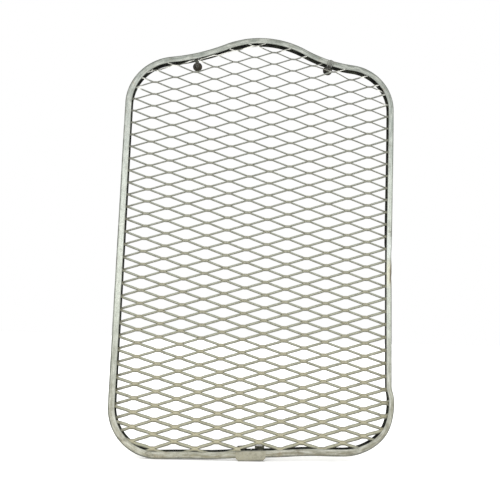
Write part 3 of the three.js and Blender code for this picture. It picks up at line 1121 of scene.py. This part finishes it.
def make_slotted_bolt():
    """The upper right bolt, with a domed and slotted head in front of the rim."""
    node = STUD_NODES["upper_right"]
    low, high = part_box(node)
    centre = (low + high) / 2
    head_radius = (high.x - low.x) / 2
    head_back = FRONT_Y - HEAD_GAP
    head_height = head_back - low.y
    sections = []
    for i in range(HEAD_STEPS):
        angle = (i + HEAD_START) / (HEAD_STEPS - 1 + HEAD_START) * math.pi / 2
        rise = HEAD_FLAT + (1 - HEAD_FLAT) * math.cos(angle)
        sections.append((head_radius * math.sin(angle), head_back - head_height * rise))
    sections.append((head_radius, head_back - HEAD_CHAMFER))
    sections.append((head_radius - HEAD_CHAMFER, head_back))
    bm = bmesh.new()
    rings = [add_ring(bm, centre, radius, y, THREAD_SIDES) for radius, y in sections]
    join_rings(bm, rings + threaded_rings(bm, centre, head_back, high.y))
    bolt = add_piece(node, bm, STUD_FINISH, shade_angle=60)

    slot = bmesh.new()
    bmesh.ops.create_cube(slot, size=1.0)
    size = Matrix.Diagonal((SLOT_WIDTH, SLOT_DEPTH, head_radius * 3, 1))
    turn = Matrix.Rotation(SLOT_TURN, 4, "Y")
    place = Matrix.Translation((centre.x, low.y + SLOT_MIDDLE, centre.z))
    slot.transform(place @ turn @ size)
    return cut_with(bolt, [solid_object("cutter", slot)])


def make_clamps():
    """The washers and hexagonal nuts of the upper fixings, the pads and square nuts below."""
    for side in ("upper_right", "upper_left"):
        low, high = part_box(f"{side}_nut")
        pierced_block(f"{side}_washer", WASHER_RADIUS, 0, HOLE_RADIUS, WASHER_CHAMFER)
        pierced_block(f"{side}_nut", (high.x - low.x) / 2, 6, NUT_BORE, HEX_NUT_CHAMFER)
    level = math.pi / 4 - BOTTOM_SLOPE
    for side in ("lower_right", "lower_left"):
        pierced_block(
            f"{side}_clamp_pad", PAD_HALF_WIDTH, 4, HOLE_RADIUS, PAD_CHAMFER, level, PAD_FINISH
        )
        pierced_block(
            f"{side}_nut", SQUARE_NUT_HALF_WIDTH, 4, NUT_BORE, SQUARE_NUT_CHAMFER, level
        )


# ---- Stage ----


def make_stage():
    """A plain pale floor, even light from all round, and two soft suns in front."""
    bm = bmesh.new()
    bmesh.ops.create_grid(bm, x_segments=1, y_segments=1, size=FLOOR_SIZE)
    mesh = bpy.data.meshes.new("floor")
    bm.to_mesh(mesh)
    bm.free()
    floor = link_object("floor", mesh)
    floor.location.z = -FLOOR_DROP
    n = Nodes("pale_floor")
    cloud = n.remap(n.noise(1.5, 3.0), 0.3, 0.7)
    tone = n.mix(cloud, (0.955, 0.955, 0.95), (0.97, 0.97, 0.965))
    n.shader.inputs["Emission Color"].default_value = (1, 1, 1, 1)
    n.shader.inputs["Emission Strength"].default_value = FLOOR_GLOW
    mesh.materials.append(n.finish(tone, 0.9, 0.0))

    world = bpy.data.worlds.new("studio")
    bpy.context.scene.world = world
    world.use_nodes = True
    background = world.node_tree.nodes["Background"]
    background.inputs["Color"].default_value = (1.0, 1.0, 1.0, 1)
    background.inputs["Strength"].default_value = 1.0

    for name, place, angle, strength in (
        ("key", (-1.0, -1.8, 2.2), 0.8, 1.05),
        ("fill", (1.6, -1.2, 1.4), 1.2, 0.5),
    ):
        light = bpy.data.lights.new(name, "SUN")
        light.energy, light.angle = strength, angle
        lamp = link_object(name, light)
        lamp.location = place
        lamp.rotation_euler = (-Vector(place)).to_track_quat("-Z", "Y").to_euler()


def make_camera():
    """The camera, in front of the screen and below its middle, turned up at it."""
    data = bpy.data.cameras.new("camera")
    data.sensor_width = CAMERA_SENSOR
    data.lens = CAMERA_LENS
    camera = link_object("camera", data)
    pitch, yaw, roll = (math.radians(a) for a in CAMERA_TURN)
    level = Matrix(((1, 0, 0), (0, 0, -1), (0, 1, 0))).to_4x4()
    turn = Matrix.Rotation(yaw, 4, "Z") @ Matrix.Rotation(pitch, 4, "X")
    turn = turn @ Matrix.Rotation(roll, 4, "Y")
    place = Matrix.Translation((CAMERA_X, CAMERA_Y, CAMERA_Z))
    camera.matrix_world = place @ turn @ level
    bpy.context.scene.camera = camera


bpy.context.scene.view_settings.view_transform = "Standard"
make_camera()
make_stage()
make_rim()
make_mesh_panel()
refined_copy("splice_sleeve", SLEEVE_FINISH, SLEEVE_BEVEL)
make_slotted_bolt()
for fixing in FIXINGS[1:]:
    make_stud(fixing)
make_clamps()
